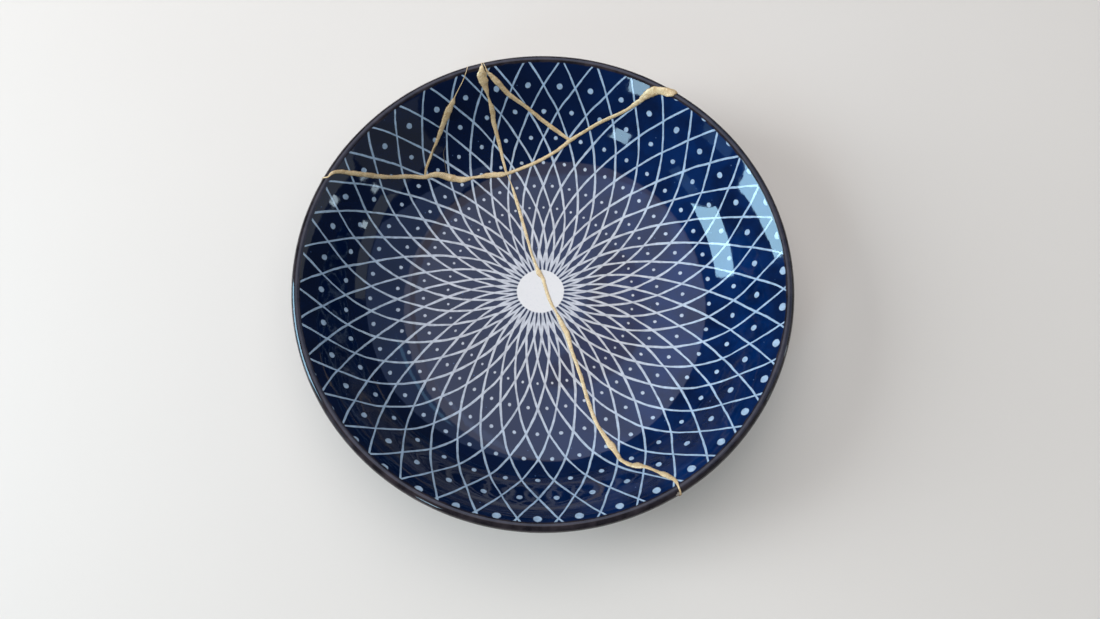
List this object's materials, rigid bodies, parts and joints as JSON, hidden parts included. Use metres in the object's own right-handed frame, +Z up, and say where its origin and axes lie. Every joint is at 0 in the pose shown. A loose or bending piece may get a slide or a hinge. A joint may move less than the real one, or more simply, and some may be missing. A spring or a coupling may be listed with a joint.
{
  "type": "kintsugi bowl",
  "caption": "Shallow round ceramic bowl on a foot ring, broken into shards and joined again with raised gold lacquer seams.",
  "frame": {"origin": "on the table plane, under the middle of the bowl", "axes": "+Z up, the bowl's axis; +Y points to the part of the lip with the small shards; the long break runs from there to the lip near -Y and +X"},
  "size_m": [0.2074, 0.2074, 0.0469],
  "materials": {
    "glaze": "glossy cobalt and navy glaze with a painted net of pale lines and dots inside, black-brown outside and on the lip",
    "gold": "matte gold powder on lacquer, slightly uneven"
  },
  "bodies": {
    "root": {"shard_upper_left": "glaze", "shard_upper_sliver": "glaze", "shard_upper_triangle": "glaze", "shard_upper_right": "glaze", "shard_large_right": "glaze", "shard_large_left": "glaze", "gold_lacquer": "gold"}
  },
  "joints": []
}
